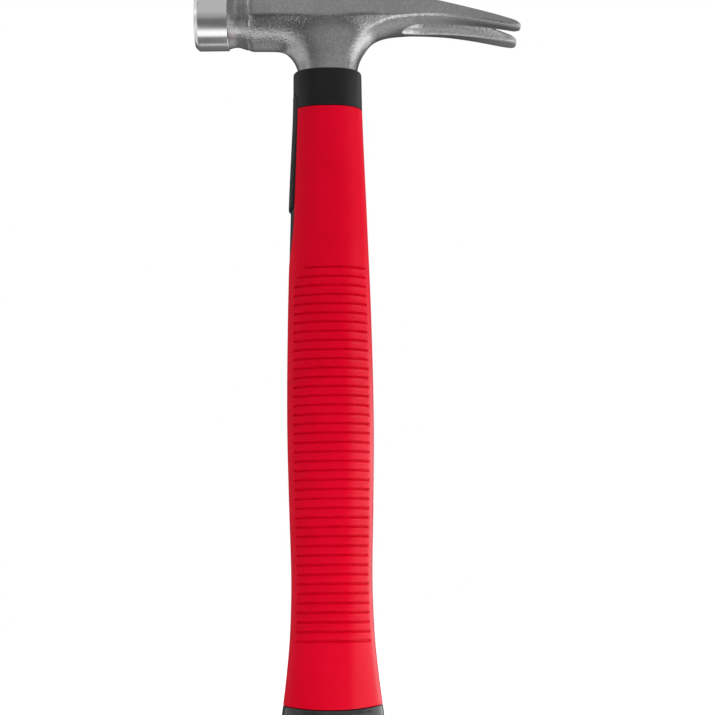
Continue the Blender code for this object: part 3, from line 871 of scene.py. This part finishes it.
class Finish:
    """A material whose nodes are written as expressions."""

    def __init__(self, name, constants=None):
        self.material = bpy.data.materials.new(name)
        self.material.use_nodes = True
        self.tree = self.material.node_tree
        self.shader = self.tree.nodes["Principled BSDF"]
        for socket, value in (constants or {}).items():
            self.shader.inputs[socket].default_value = value

    def node(self, kind, settings=None, sockets=None, output=0):
        made = self.tree.nodes.new(kind)
        for name, value in (settings or {}).items():
            if name == "stops":
                self.set_stops(made.color_ramp, value)
            else:
                setattr(made, name, value)
        for name, value in (sockets or {}).items():
            self.join(made.inputs[name], value)
        return Wire(self, made.outputs[output])

    def set_stops(self, ramp, stops):
        while len(ramp.elements) < len(stops):
            ramp.elements.new(1.0)
        for element, (place, colour) in zip(ramp.elements, stops):
            element.position = place
            element.color = (*colour, 1.0)

    def join(self, socket, value):
        if isinstance(value, Wire):
            self.tree.links.new(value.socket, socket)
        else:
            socket.default_value = value

    def feed(self, socket, value):
        self.join(self.shader.inputs[socket], value)

    def show(self, shader):
        """Put a shader on the surface in place of the plain one."""
        self.join(self.tree.nodes["Material Output"].inputs["Surface"], shader)

    def ray(self, kind):
        """1 for one kind of ray and 0 for the others."""
        return self.node("ShaderNodeLightPath", output=kind)

    def place(self):
        return self.node("ShaderNodeTexCoord", output="Object")

    def axes(self):
        """X, Y and Z on the object, in millimetres."""
        split = self.node("ShaderNodeSeparateXYZ", sockets={0: self.place()})
        return [Wire(self, socket) * (1 / MM) for socket in split.socket.node.outputs]

    def stretched(self, scale):
        return self.node("ShaderNodeMapping", sockets={"Vector": self.place(), "Scale": scale})

    def noise(self, size, detail, roughness, vector=None):
        """Noise from 0 to 1 whose lumps are about size millimetres."""
        return self.node("ShaderNodeTexNoise", sockets={
            "Vector": vector or self.place(), "Scale": 1 / (size * MM),
            "Detail": detail, "Roughness": roughness})

    def cells(self, size, vector=None):
        """Distance from the middles of cells that are about size millimetres wide."""
        return self.node("ShaderNodeTexVoronoi", sockets={
            "Vector": vector or self.place(), "Scale": 1 / (size * MM)})

    def blend(self, share, first, second):
        """Mix two colours."""
        settings = {"data_type": "RGBA"}
        first, second = (value if isinstance(value, Wire) else (*value, 1.0) for value in (first, second))
        return self.node("ShaderNodeMix", settings, {"Factor": share, 6: first, 7: second}, output=2)

    def bump(self, height, depth, strength):
        """Bump of a height from 0 to 1 that is depth millimetres deep."""
        return self.node("ShaderNodeBump", sockets={
            "Height": height, "Distance": depth * MM, "Strength": strength})


def grey(level, blue=0.0):
    """A neutral colour, or one with a little more blue."""
    return (level, level, level + blue)


# Lines on the head that the steel's seam, worn edges and painted highlights follow
PARTING_Z = 315.1
RIDGE_Z = 314.05
LOWER_EDGE_Z = 312.1
CLAW_BEND_X = 42.0
SLOT_START_X = 30.0


def forged_steel():
    """Shot-blasted forging with a parting line; the barrel is turned and polished.

    The numbers given to step and band with x, z and out are places on the head in millimetres.
    """
    steel = Finish("forged steel")
    x, y, z = steel.axes()
    out = abs(y)
    polished = x.step(-42.6, -42.9)
    striking = x.step(-56.9, -57.1)
    neck = x.step(-33.0, -36.0)
    tips = x.step(75.0, 82.0)
    coarse = steel.noise(1.1, 2.0, 0.5)
    fine = steel.noise(0.42, 2.0, 0.6)
    patches = steel.noise(9.0, 3.0, 0.5)
    lathe = steel.noise(0.16, 1.0, 0.5, steel.stretched((1.0, 0.02, 0.02)))

    # Blasted tone, with a dark seam on the parting line
    tone = steel.blend(coarse.step(0.36, 0.64) * 0.7 + fine * 0.3, grey(0.36, 0.005), grey(0.45, 0.005))
    tone = steel.blend(patches.step(0.35, 0.7) * 0.5, tone, grey(0.33, 0.005))
    parting = abs(z - PARTING_Z + (coarse - 0.5) * 0.5)
    shown = x.band(-33.5, -31.0, -14.0, -6.0) + x.band(5.0, 12.0, 19.0, 25.0)
    seam = parting.step(1.2, 0.2) * out.step(9.0, 11.0) * shown
    tone = steel.blend(seam * 0.25, tone, grey(0.10))

    # Ragged worn edge along the claw's side, whitened as a painted highlight
    before_slot = x.maths("MAXIMUM", SLOT_START_X - x, 0.0)
    bend = (x - CLAW_BEND_X) ** 2.0
    ridge = z - RIDGE_Z + bend * 0.0035 + before_slot * before_slot * 0.016
    worn_edge_and_highlight = abs(ridge + (coarse - 0.5) * 1.6).step(0.6, 0.15) * x.band(15.0, 24.0, 40.0, 60.0)
    worn_edge_and_highlight = worn_edge_and_highlight * fine.step(0.36, 0.56) * out.step(9.0, 11.0)
    tone = steel.blend(worn_edge_and_highlight, tone, grey(0.9))

    # Painted highlight under the body and the neck, and duller metal on the claw
    underside = x.band(-36.0, -33.0, -20.0, -14.0) * z.step(308.0, 305.0)
    painted_neck_highlight = x.band(-42.6, -41.0, -37.0, -34.0) * z.step(312.0, 309.0)
    tone = steel.blend((underside + painted_neck_highlight) * 0.8, tone, grey(0.58))
    tone = steel.blend(x.step(45.0, 66.0) * 0.5, tone, grey(0.32, 0.005))
    # Painted shade in the neck's grooves
    groove = x.band(-42.8, -42.4, -40.6, -39.2) * z.step(309.0, 311.5)
    groove = groove + x.band(-38.6, -37.8, -35.6, -34.8) * z.step(308.0, 311.0) * 0.8
    tone = steel.blend(groove * 0.6, tone, grey(0.18))
    # Painted shade at the socket's foot, just above the collar
    foot = (x.band(-15.5, -14.0, -9.6, -8.0) + x.step(8.0, 9.5)) * z.step(297.0, 294.0)
    tone = steel.blend(foot * 0.45, tone, grey(0.18))

    # Painted highlight along the lower edge of the slot, then the turned barrel
    painted_slot_edge_highlight = abs(z - LOWER_EDGE_Z + bend * 0.0024).step(0.7, 0.2) * out.band(5.6, 6.2, 7.6, 8.4)
    painted_slot_edge_highlight = painted_slot_edge_highlight * x.step(38.0, 44.0) * fine.step(0.3, 0.5)
    tone = steel.blend(painted_slot_edge_highlight * 0.5, tone, grey(0.8))
    bright = steel.blend(lathe, grey(0.74), grey(0.86))
    steel.feed("Base Color", steel.blend(polished, tone, bright))

    edge = abs(ridge).step(0.8, 0.3) * x.band(15.0, 24.0, 50.0, 80.0)
    steel.feed("Metallic", 1 - edge * 0.3 - worn_edge_and_highlight * 0.4)
    rough_blast = 0.14 + fine * 0.08 + coarse * 0.05 + neck * 0.08 + tips * 0.2 + edge * 0.3
    rough_turned = 0.15 + lathe * 0.08 + striking * 0.12
    steel.feed("Roughness", rough_blast * (1 - polished) + rough_turned * polished)

    # The grain is shallower on the cheeks, the socket, the claw and the neck, and below the parting line
    cheek = out.step(12.6, 13.2) * z.step(313.5, 315.5)
    panel = out.step(8.5, 10.0) * z.step(315.5, 313.5) * x.band(-10.0, -6.0, 9.0, 15.0)
    under_parting = out.step(10.0, 12.0) * z.band(306.0, 308.5, 314.4, 315.6) * x.step(0.0, -8.0)
    calm = (1 - 0.6 * (cheek + panel)) * (1 - 0.6 * under_parting)
    calm = calm * (1 - 0.55 * x.step(24.0, 40.0)) * (1 - 0.25 * neck)
    grain = (coarse * 0.65 + fine * 0.35) * (1 - polished) * calm + lathe * polished * 0.02
    steel.feed("Normal", steel.bump(grain, 0.33, 0.9))
    return steel.material


def red_rubber():
    """Soft red moulding with a fine matt grain, rubbed smooth where the palm closes round it."""
    red = Finish("red soft plastic", {"Specular IOR Level": 0.04, "Coat Roughness": 0.3})
    broad = red.noise(22.0, 3.0, 0.5)
    grain = red.noise(0.22, 2.0, 0.6)
    red.feed("Base Color", red.blend(broad.step(0.3, 0.7), (0.66, 0.0006, 0.017), (0.71, 0.001, 0.021)))
    red.feed("Roughness", 0.36 + grain * 0.1)
    x, _, z = red.axes()
    red.feed("Coat Weight", x.step(6.0, 11.0) * z.step(235.0, 130.0) * (0.32 + broad * 0.25))
    red.feed("Normal", red.bump(grain, 0.02, 0.6))
    return red.material


def satin_black(name, shade, roughness, grain_size, grain_depth):
    """Black moulding with a grain whose size and depth are in millimetres."""
    black = Finish(name, {"Specular IOR Level": 0.24})
    grain = black.noise(grain_size, 2.0, 0.6)
    broad = black.noise(14.0, 3.0, 0.55)
    darker = tuple(0.86 * value for value in shade)
    lighter = tuple(1.16 * value for value in shade)
    black.feed("Base Color", black.blend(broad.step(0.3, 0.7), darker, lighter))
    black.feed("Roughness", roughness + (grain - 0.5) * 0.1 + (broad - 0.5) * 0.08)
    black.feed("Normal", black.bump(grain, grain_depth, 0.5))
    return black.material


def gloss_black():
    """Hard glossy cap with faint handling marks."""
    black = Finish("gloss black")
    broad = black.noise(12.0, 3.0, 0.5)
    marks = black.noise(0.5, 3.0, 0.6, black.stretched((1.0, 1.0, 0.12)))
    black.feed("Base Color", black.blend(broad, (0.016, 0.016, 0.017), (0.022, 0.022, 0.023)))
    black.feed("Roughness", 0.12 + broad * 0.06 + marks.step(0.6, 0.8) * 0.1)
    return black.material


def glass_fibre():
    """Cut end of the core: bundles of fibre in pale resin."""
    core = Finish("glass fibre")
    bundles = core.cells(0.7, vector=core.stretched((1.0, 1.0, 0.02)))
    fibre = core.noise(0.18, 2.0, 0.6, core.stretched((1.0, 1.0, 0.02)))
    core.feed("Base Color", core.blend(bundles.step(0.15, 0.65), (0.72, 0.64, 0.40), (0.42, 0.34, 0.17)))
    core.feed("Roughness", 0.4 + fibre * 0.25)
    core.feed("Normal", core.bump(bundles * 0.6 + fibre * 0.4, 0.05, 0.6))
    return core.material


def cast_resin():
    resin = Finish("cast resin", {"Coat Weight": 0.3})
    cloud = resin.noise(3.0, 3.0, 0.55)
    bubbles = resin.cells(1.3).step(0.22, 0.1)
    resin.feed("Base Color", resin.blend(cloud.step(0.3, 0.7), (0.13, 0.085, 0.045), (0.21, 0.145, 0.08)))
    resin.feed("Roughness", 0.26 + cloud * 0.15)
    resin.feed("Normal", resin.bump(cloud * 0.5 - bubbles * 0.5, 0.2, 0.6))
    return resin.material


# The pieces


def build_head():
    head = finish_piece("head_forging", forging_cage(), forged_steel(), ["hammer_head"])
    barrel = to_object("turned end", turned_end())
    eye = to_object("eye", oval_bar(EYE_RINGS))
    round_off(head, HEAD_LEVELS)
    round_off(barrel, BARREL_LEVELS)
    work(head, barrel, "UNION")
    work(head, eye, "DIFFERENCE")
    settle(head, [barrel, eye])


def build_handle():
    finish_piece("ribbed_sleeve", ribbed_sleeve(), red_rubber(), ["grip_sleeve"])
    hard = satin_black("black plastic", grey(0.008, 0.0005), 0.42, 0.35, 0.03)
    collar = finish_piece("collar_and_strip", collar_and_strip(), hard, ["handle_jacket"])
    pocket = to_object("pad pocket", pad_plate(GAP, PAD_DEPTH + GAP, POCKET_REACH, 0.0))
    work(collar, pocket, "DIFFERENCE")
    settle(collar, [pocket])
    soft = satin_black("soft black", grey(0.010), 0.5, 0.25, 0.03)
    pad = pad_plate(0.0, PAD_DEPTH, PAD_PROUD, PAD_EDGE)
    finish_piece("front_pad", pad, soft, ["overstrike_pad"])
    finish_piece("butt_cup", cap_cup(), gloss_black(), ["butt_cap"])


def build_joint():
    """Core, resin and seal, which join the handle to the head."""
    core = oval_bar(CORE_RINGS)
    ease_edges(core, CORE_EDGE)
    finish_piece("core_bar", core, glass_fibre(), ["handle_core"])
    resin = finish_piece("eye_filling", oval_bar(RESIN_RINGS), cast_resin(), ["eye_resin"])
    hole = to_object("tenon hole", oval_bar(RESIN_HOLE_RINGS))
    work(resin, hole, "DIFFERENCE")
    settle(resin, [hole])
    seal = bpy.data.objects["socket_seal"]
    rubber = satin_black("seal rubber", grey(0.03), 0.75, 0.3, 0.05)
    seal.data.materials.clear()
    seal.data.materials.append(rubber)


# Studio and camera, in metres


ROOM_FRONT = -1.1
ROOM_BACK = 1.1
ROOM_TOP = 2.4
FLOOR_REACH = 6.0
FLOOR_CARD_HEIGHT = 0.001
FLOOR_LIFT = 0.6
AIR_LIGHT = 0.55
CARD_STRENGTH = 2.0
WHITE = (1.0, 1.0, 1.0, 1.0)

# Upright cards that only reflections see: name, corner, way across, height, axis of the shading, and stops as
# places from 0 to 1 with their levels; a reflection sees a level times the card strength
UPRIGHT_CARDS = (
    ("front card", (-1.6, -1.1, 0.0), (3.2, 0.0), ROOM_TOP, "Z",
     ((0.0, 0.06), (0.05, 0.11), (0.10, 0.15), (0.15, 0.24), (0.26, 0.285))),
    ("right front card", (0.05, -1.02, 0.0), (1.15, 0.0), 0.26, "X",
     ((0.0, 0.08), (0.25, 0.12), (0.34, 0.65), (1.0, 0.85))),
    ("panel front card", (-0.55, -1.06, 0.34), (1.05, 0.0), 0.24, "X",
     ((0.0, 0.19), (0.40, 0.21), (0.60, 0.29), (1.0, 0.31))),
    ("left card", (-1.25, -1.05, 0.0), (0.9, 0.0), ROOM_TOP, "Z",
     ((0.0, 0.12), (0.18, 0.12), (0.22, 0.22), (0.33, 0.22), (0.38, 0.14), (1.0, 0.14))),
    ("left side card", (-1.25, -1.05, 0.0), (0.0, 2.15), ROOM_TOP, "Z",
     ((0.0, 0.46), (0.10, 0.44), (0.14, 0.33), (0.24, 0.33), (0.27, 0.55), (0.34, 0.55), (0.38, 0.42),
      (1.0, 0.33))),
    ("right side card", (1.3, -0.7, 0.0), (0.0, 1.8), ROOM_TOP, "Z",
     ((0.0, 1.0), (0.10, 1.0), (0.12, 0.24), (0.18, 0.24), (0.22, 0.90), (0.36, 0.90), (0.42, 0.30),
      (1.0, 0.28))),
    ("right near card", (1.3, -1.1, 0.0), (0.0, 0.4), ROOM_TOP, "Z",
     ((0.0, 1.0), (0.10, 1.0), (0.13, 0.60), (0.36, 0.60), (0.42, 0.30), (1.0, 0.28))),
    ("right low card", (0.66, -0.12, 0.002), (-0.25, 0.80), 0.26, "Z", ((0.0, 1.0), (1.0, 1.0))),
    ("back card", (-1.25, 1.1, 0.0), (1.95, 0.0), ROOM_TOP, "Z",
     ((0.0, 0.06), (0.2, 0.06), (0.3, 0.08), (1.0, 0.10))),
    ("right back card", (0.7, 1.1, 0.0), (0.6, 0.0), ROOM_TOP, "Z", ((0.0, 0.26), (1.0, 0.30))),
)
# Cards on the floor: name, left and right end, and stops from the front of the room to its back
STRIPE = ((0.375, 0.40), (0.405, 0.64), (0.455, 0.64))
NEAR_FLOOR = ((0.0, 0.07), (0.20, 0.05), (0.335, 0.06), *STRIPE)
FLOOR_CARDS = (
    ("beside floor card", -1.25, -0.36, ((0.0, 0.36), (1.0, 0.36))),
    ("outer floor card", -0.36, -0.105,
     ((0.0, 0.09), (0.25, 0.09), (0.30, 0.26), *STRIPE, (0.475, 0.09), (1.0, 0.08))),
    ("barrel floor card", -0.105, -0.052,
     (*NEAR_FLOOR, (0.475, 0.09), (0.55, 0.09), (0.565, 0.36), (0.582, 0.36), (0.60, 0.12), (0.66, 0.09),
      (1.0, 0.08))),
    ("body floor card", -0.052, 0.0,
     (*NEAR_FLOOR, (0.475, 0.22), (0.545, 0.22), (0.565, 0.26), (0.60, 0.24), (0.63, 0.16), (1.0, 0.14))),
    ("socket floor card", 0.0, 0.03,
     (*NEAR_FLOOR, (0.475, 0.12), (0.545, 0.12), (0.565, 0.24), (0.60, 0.30), (0.66, 0.13), (1.0, 0.13))),
    ("slot floor card", 0.03, 0.10,
     ((0.0, 0.70), (0.27, 0.70), (0.31, 0.24), (0.365, 0.24), (0.40, 0.46), (0.50, 0.32), (0.69, 0.32),
      (0.76, 0.17), (0.96, 0.05))),
    ("claw floor card", 0.10, 0.50,
     ((0.0, 0.80), (0.36, 0.70), (0.50, 0.36), (0.69, 0.40), (0.76, 0.17), (0.96, 0.05))),
)
CEILING = ("ceiling card", -1.6, 1.6, ((0.0, 0.29), (1.0, 0.24)))
# Lamps: name, place, aim, size and power in watts
SOFTBOXES = (
    ("right softbox", (1.02, -0.38, 0.86), (0.0, 0.0, 0.15), (1.0, 0.9), 9.8),
    ("left softbox", (-0.98, -0.12, 0.85), (0.0, 0.0, 0.3), (1.0, 0.85), 2.2),
    ("top softbox", (0.1, 0.3, 1.2), (0.0, 0.0, 0.2), (0.9, 0.7), 3.4),
    ("low fill", (0.05, -0.17, 0.015), (0.0, 0.0, 0.05), (0.12, 0.03), 0.07),
)

# Camera fitted to the photograph, whose sides are PHOTO_SIDE pixels long
PHOTO_SIDE = 715.0
FOCAL_PIXELS = 1800.0
SENSOR = 36.0
CAMERA_PLACE = (0.0117, -0.756, 0.0620)
CAMERA_TILT = math.radians(98.0)
CAMERA_ROLL = math.radians(-0.63)
CLIP_NEAR = 0.01
CLIP_FAR = 50.0


def glossy_only(name, axis, start, end, stops):
    """A finish that only reflections can see, shaded along one axis from start to end in metres."""
    card = Finish(name)
    along = card.node("ShaderNodeSeparateXYZ", sockets={0: card.place()}, output=axis)
    shades = [(place, grey(level)) for place, level in stops]
    shade_ramp = card.node("ShaderNodeValToRGB", {"stops": shades}, {0: (along - start) / (end - start)})
    glow = card.node("ShaderNodeEmission", sockets={"Color": shade_ramp, "Strength": CARD_STRENGTH})
    clear = card.node("ShaderNodeBsdfTransparent")
    card.show(card.node("ShaderNodeMixShader", sockets={0: card.ray("Is Glossy Ray"), 1: clear, 2: glow}))
    return card.material


def stage_plane(name, corner, across, up, material):
    """A flat stage sheet from one corner along two edges, in metres."""
    mesh = bpy.data.meshes.new(name)
    builder = bmesh.new()
    bmesh.ops.create_grid(builder, x_segments=1, y_segments=1, size=0.5)
    for vert in builder.verts:
        vert.co = Vector(corner) + Vector(across) * (vert.co.x + 0.5) + Vector(up) * (vert.co.y + 0.5)
    builder.to_mesh(mesh)
    builder.free()
    mesh.materials.append(material)
    plane = bpy.data.objects.new(name, mesh)
    bpy.context.collection.objects.link(plane)


def level_card(name, left, right, stops, height):
    """A card that lies level, shaded from the front of the room to its back."""
    card = glossy_only(name, "Y", ROOM_FRONT, ROOM_BACK, stops)
    depth = ROOM_BACK - ROOM_FRONT
    stage_plane(name, (left, ROOM_FRONT, height), (right - left, 0.0, 0.0), (0.0, depth, 0.0), card)


def floor_paper():
    """Pale paper, lifted to white for the camera and for reflections; shadows stay."""
    paper = Finish("floor paper", {"Roughness": 0.9, "Specular IOR Level": 0.0})
    camera, glossy = paper.ray("Is Camera Ray"), paper.ray("Is Glossy Ray")
    seen = camera.maths("MAXIMUM", camera, glossy)
    paper.feed("Base Color", (*grey(0.80), 1.0))
    lift = paper.node("ShaderNodeEmission", sockets={"Color": WHITE, "Strength": seen * FLOOR_LIFT})
    plain = Wire(paper, paper.shader.outputs[0])
    paper.show(paper.node("ShaderNodeAddShader", sockets={0: plain, 1: lift}))
    return paper.material


def softbox(name, place, aim, size, power):
    """A soft lamp; the cards stand for it in reflections, so that bare steel doesn't burn out."""
    lamp = bpy.data.lights.new(name, "AREA")
    lamp.shape = "RECTANGLE"
    lamp.size, lamp.size_y = size
    lamp.energy = power
    item = bpy.data.objects.new(name, lamp)
    item.location = place
    item.rotation_euler = (Vector(aim) - Vector(place)).to_track_quat("-Z", "Y").to_euler()
    item.visible_glossy = False
    bpy.context.collection.objects.link(item)


def build_world():
    """White air for the camera, reflections and glass, and a plainer light for the rest."""
    world = bpy.data.worlds.new("studio air")
    bpy.context.scene.world = world
    world.use_nodes = True
    tree = world.node_tree
    air = tree.nodes["Background"]
    path = tree.nodes.new("ShaderNodeLightPath")
    seen = path.outputs["Is Camera Ray"]
    for other in ("Is Glossy Ray", "Is Transmission Ray"):
        either = tree.nodes.new("ShaderNodeMath")
        either.operation = "MAXIMUM"
        tree.links.new(seen, either.inputs[0])
        tree.links.new(path.outputs[other], either.inputs[1])
        seen = either.outputs[0]
    level = tree.nodes.new("ShaderNodeMapRange")
    level.inputs["To Min"].default_value = AIR_LIGHT
    level.inputs["To Max"].default_value = 1.0
    tree.links.new(seen, level.inputs["Value"])
    tree.links.new(level.outputs[0], air.inputs["Strength"])
    air.inputs["Color"].default_value = WHITE


def build_studio():
    side = 2 * FLOOR_REACH
    stage_plane("floor", (-FLOOR_REACH, -FLOOR_REACH, 0.0), (side, 0.0, 0.0), (0.0, side, 0.0), floor_paper())
    for name, corner, across, height, axis, stops in UPRIGHT_CARDS:
        start, end = (0.0, ROOM_TOP) if axis == "Z" else (corner[0], corner[0] + across[0])
        card = glossy_only(name, axis, start, end, stops)
        stage_plane(name, corner, (*across, 0.0), (0.0, 0.0, height), card)
    level_card(*CEILING, ROOM_TOP)
    for card in FLOOR_CARDS:
        level_card(*card, FLOOR_CARD_HEIGHT)
    for lamp in SOFTBOXES:
        softbox(*lamp)
    build_world()


def build_camera():
    """The photograph's view: a long lens near the floor, tilted up."""
    data = bpy.data.cameras.new("camera")
    data.sensor_width = SENSOR
    data.lens = SENSOR * FOCAL_PIXELS / PHOTO_SIDE
    data.clip_start = CLIP_NEAR
    data.clip_end = CLIP_FAR
    camera = bpy.data.objects.new("camera", data)
    tilt = Matrix.Rotation(CAMERA_TILT, 4, "X")
    roll = Matrix.Rotation(CAMERA_ROLL, 4, "Z")
    camera.matrix_world = Matrix.Translation(CAMERA_PLACE) @ tilt @ roll
    bpy.context.collection.objects.link(camera)
    bpy.context.scene.camera = camera


build_head()
build_handle()
build_joint()
build_studio()
build_camera()
bpy.context.scene.view_settings.view_transform = "Standard"
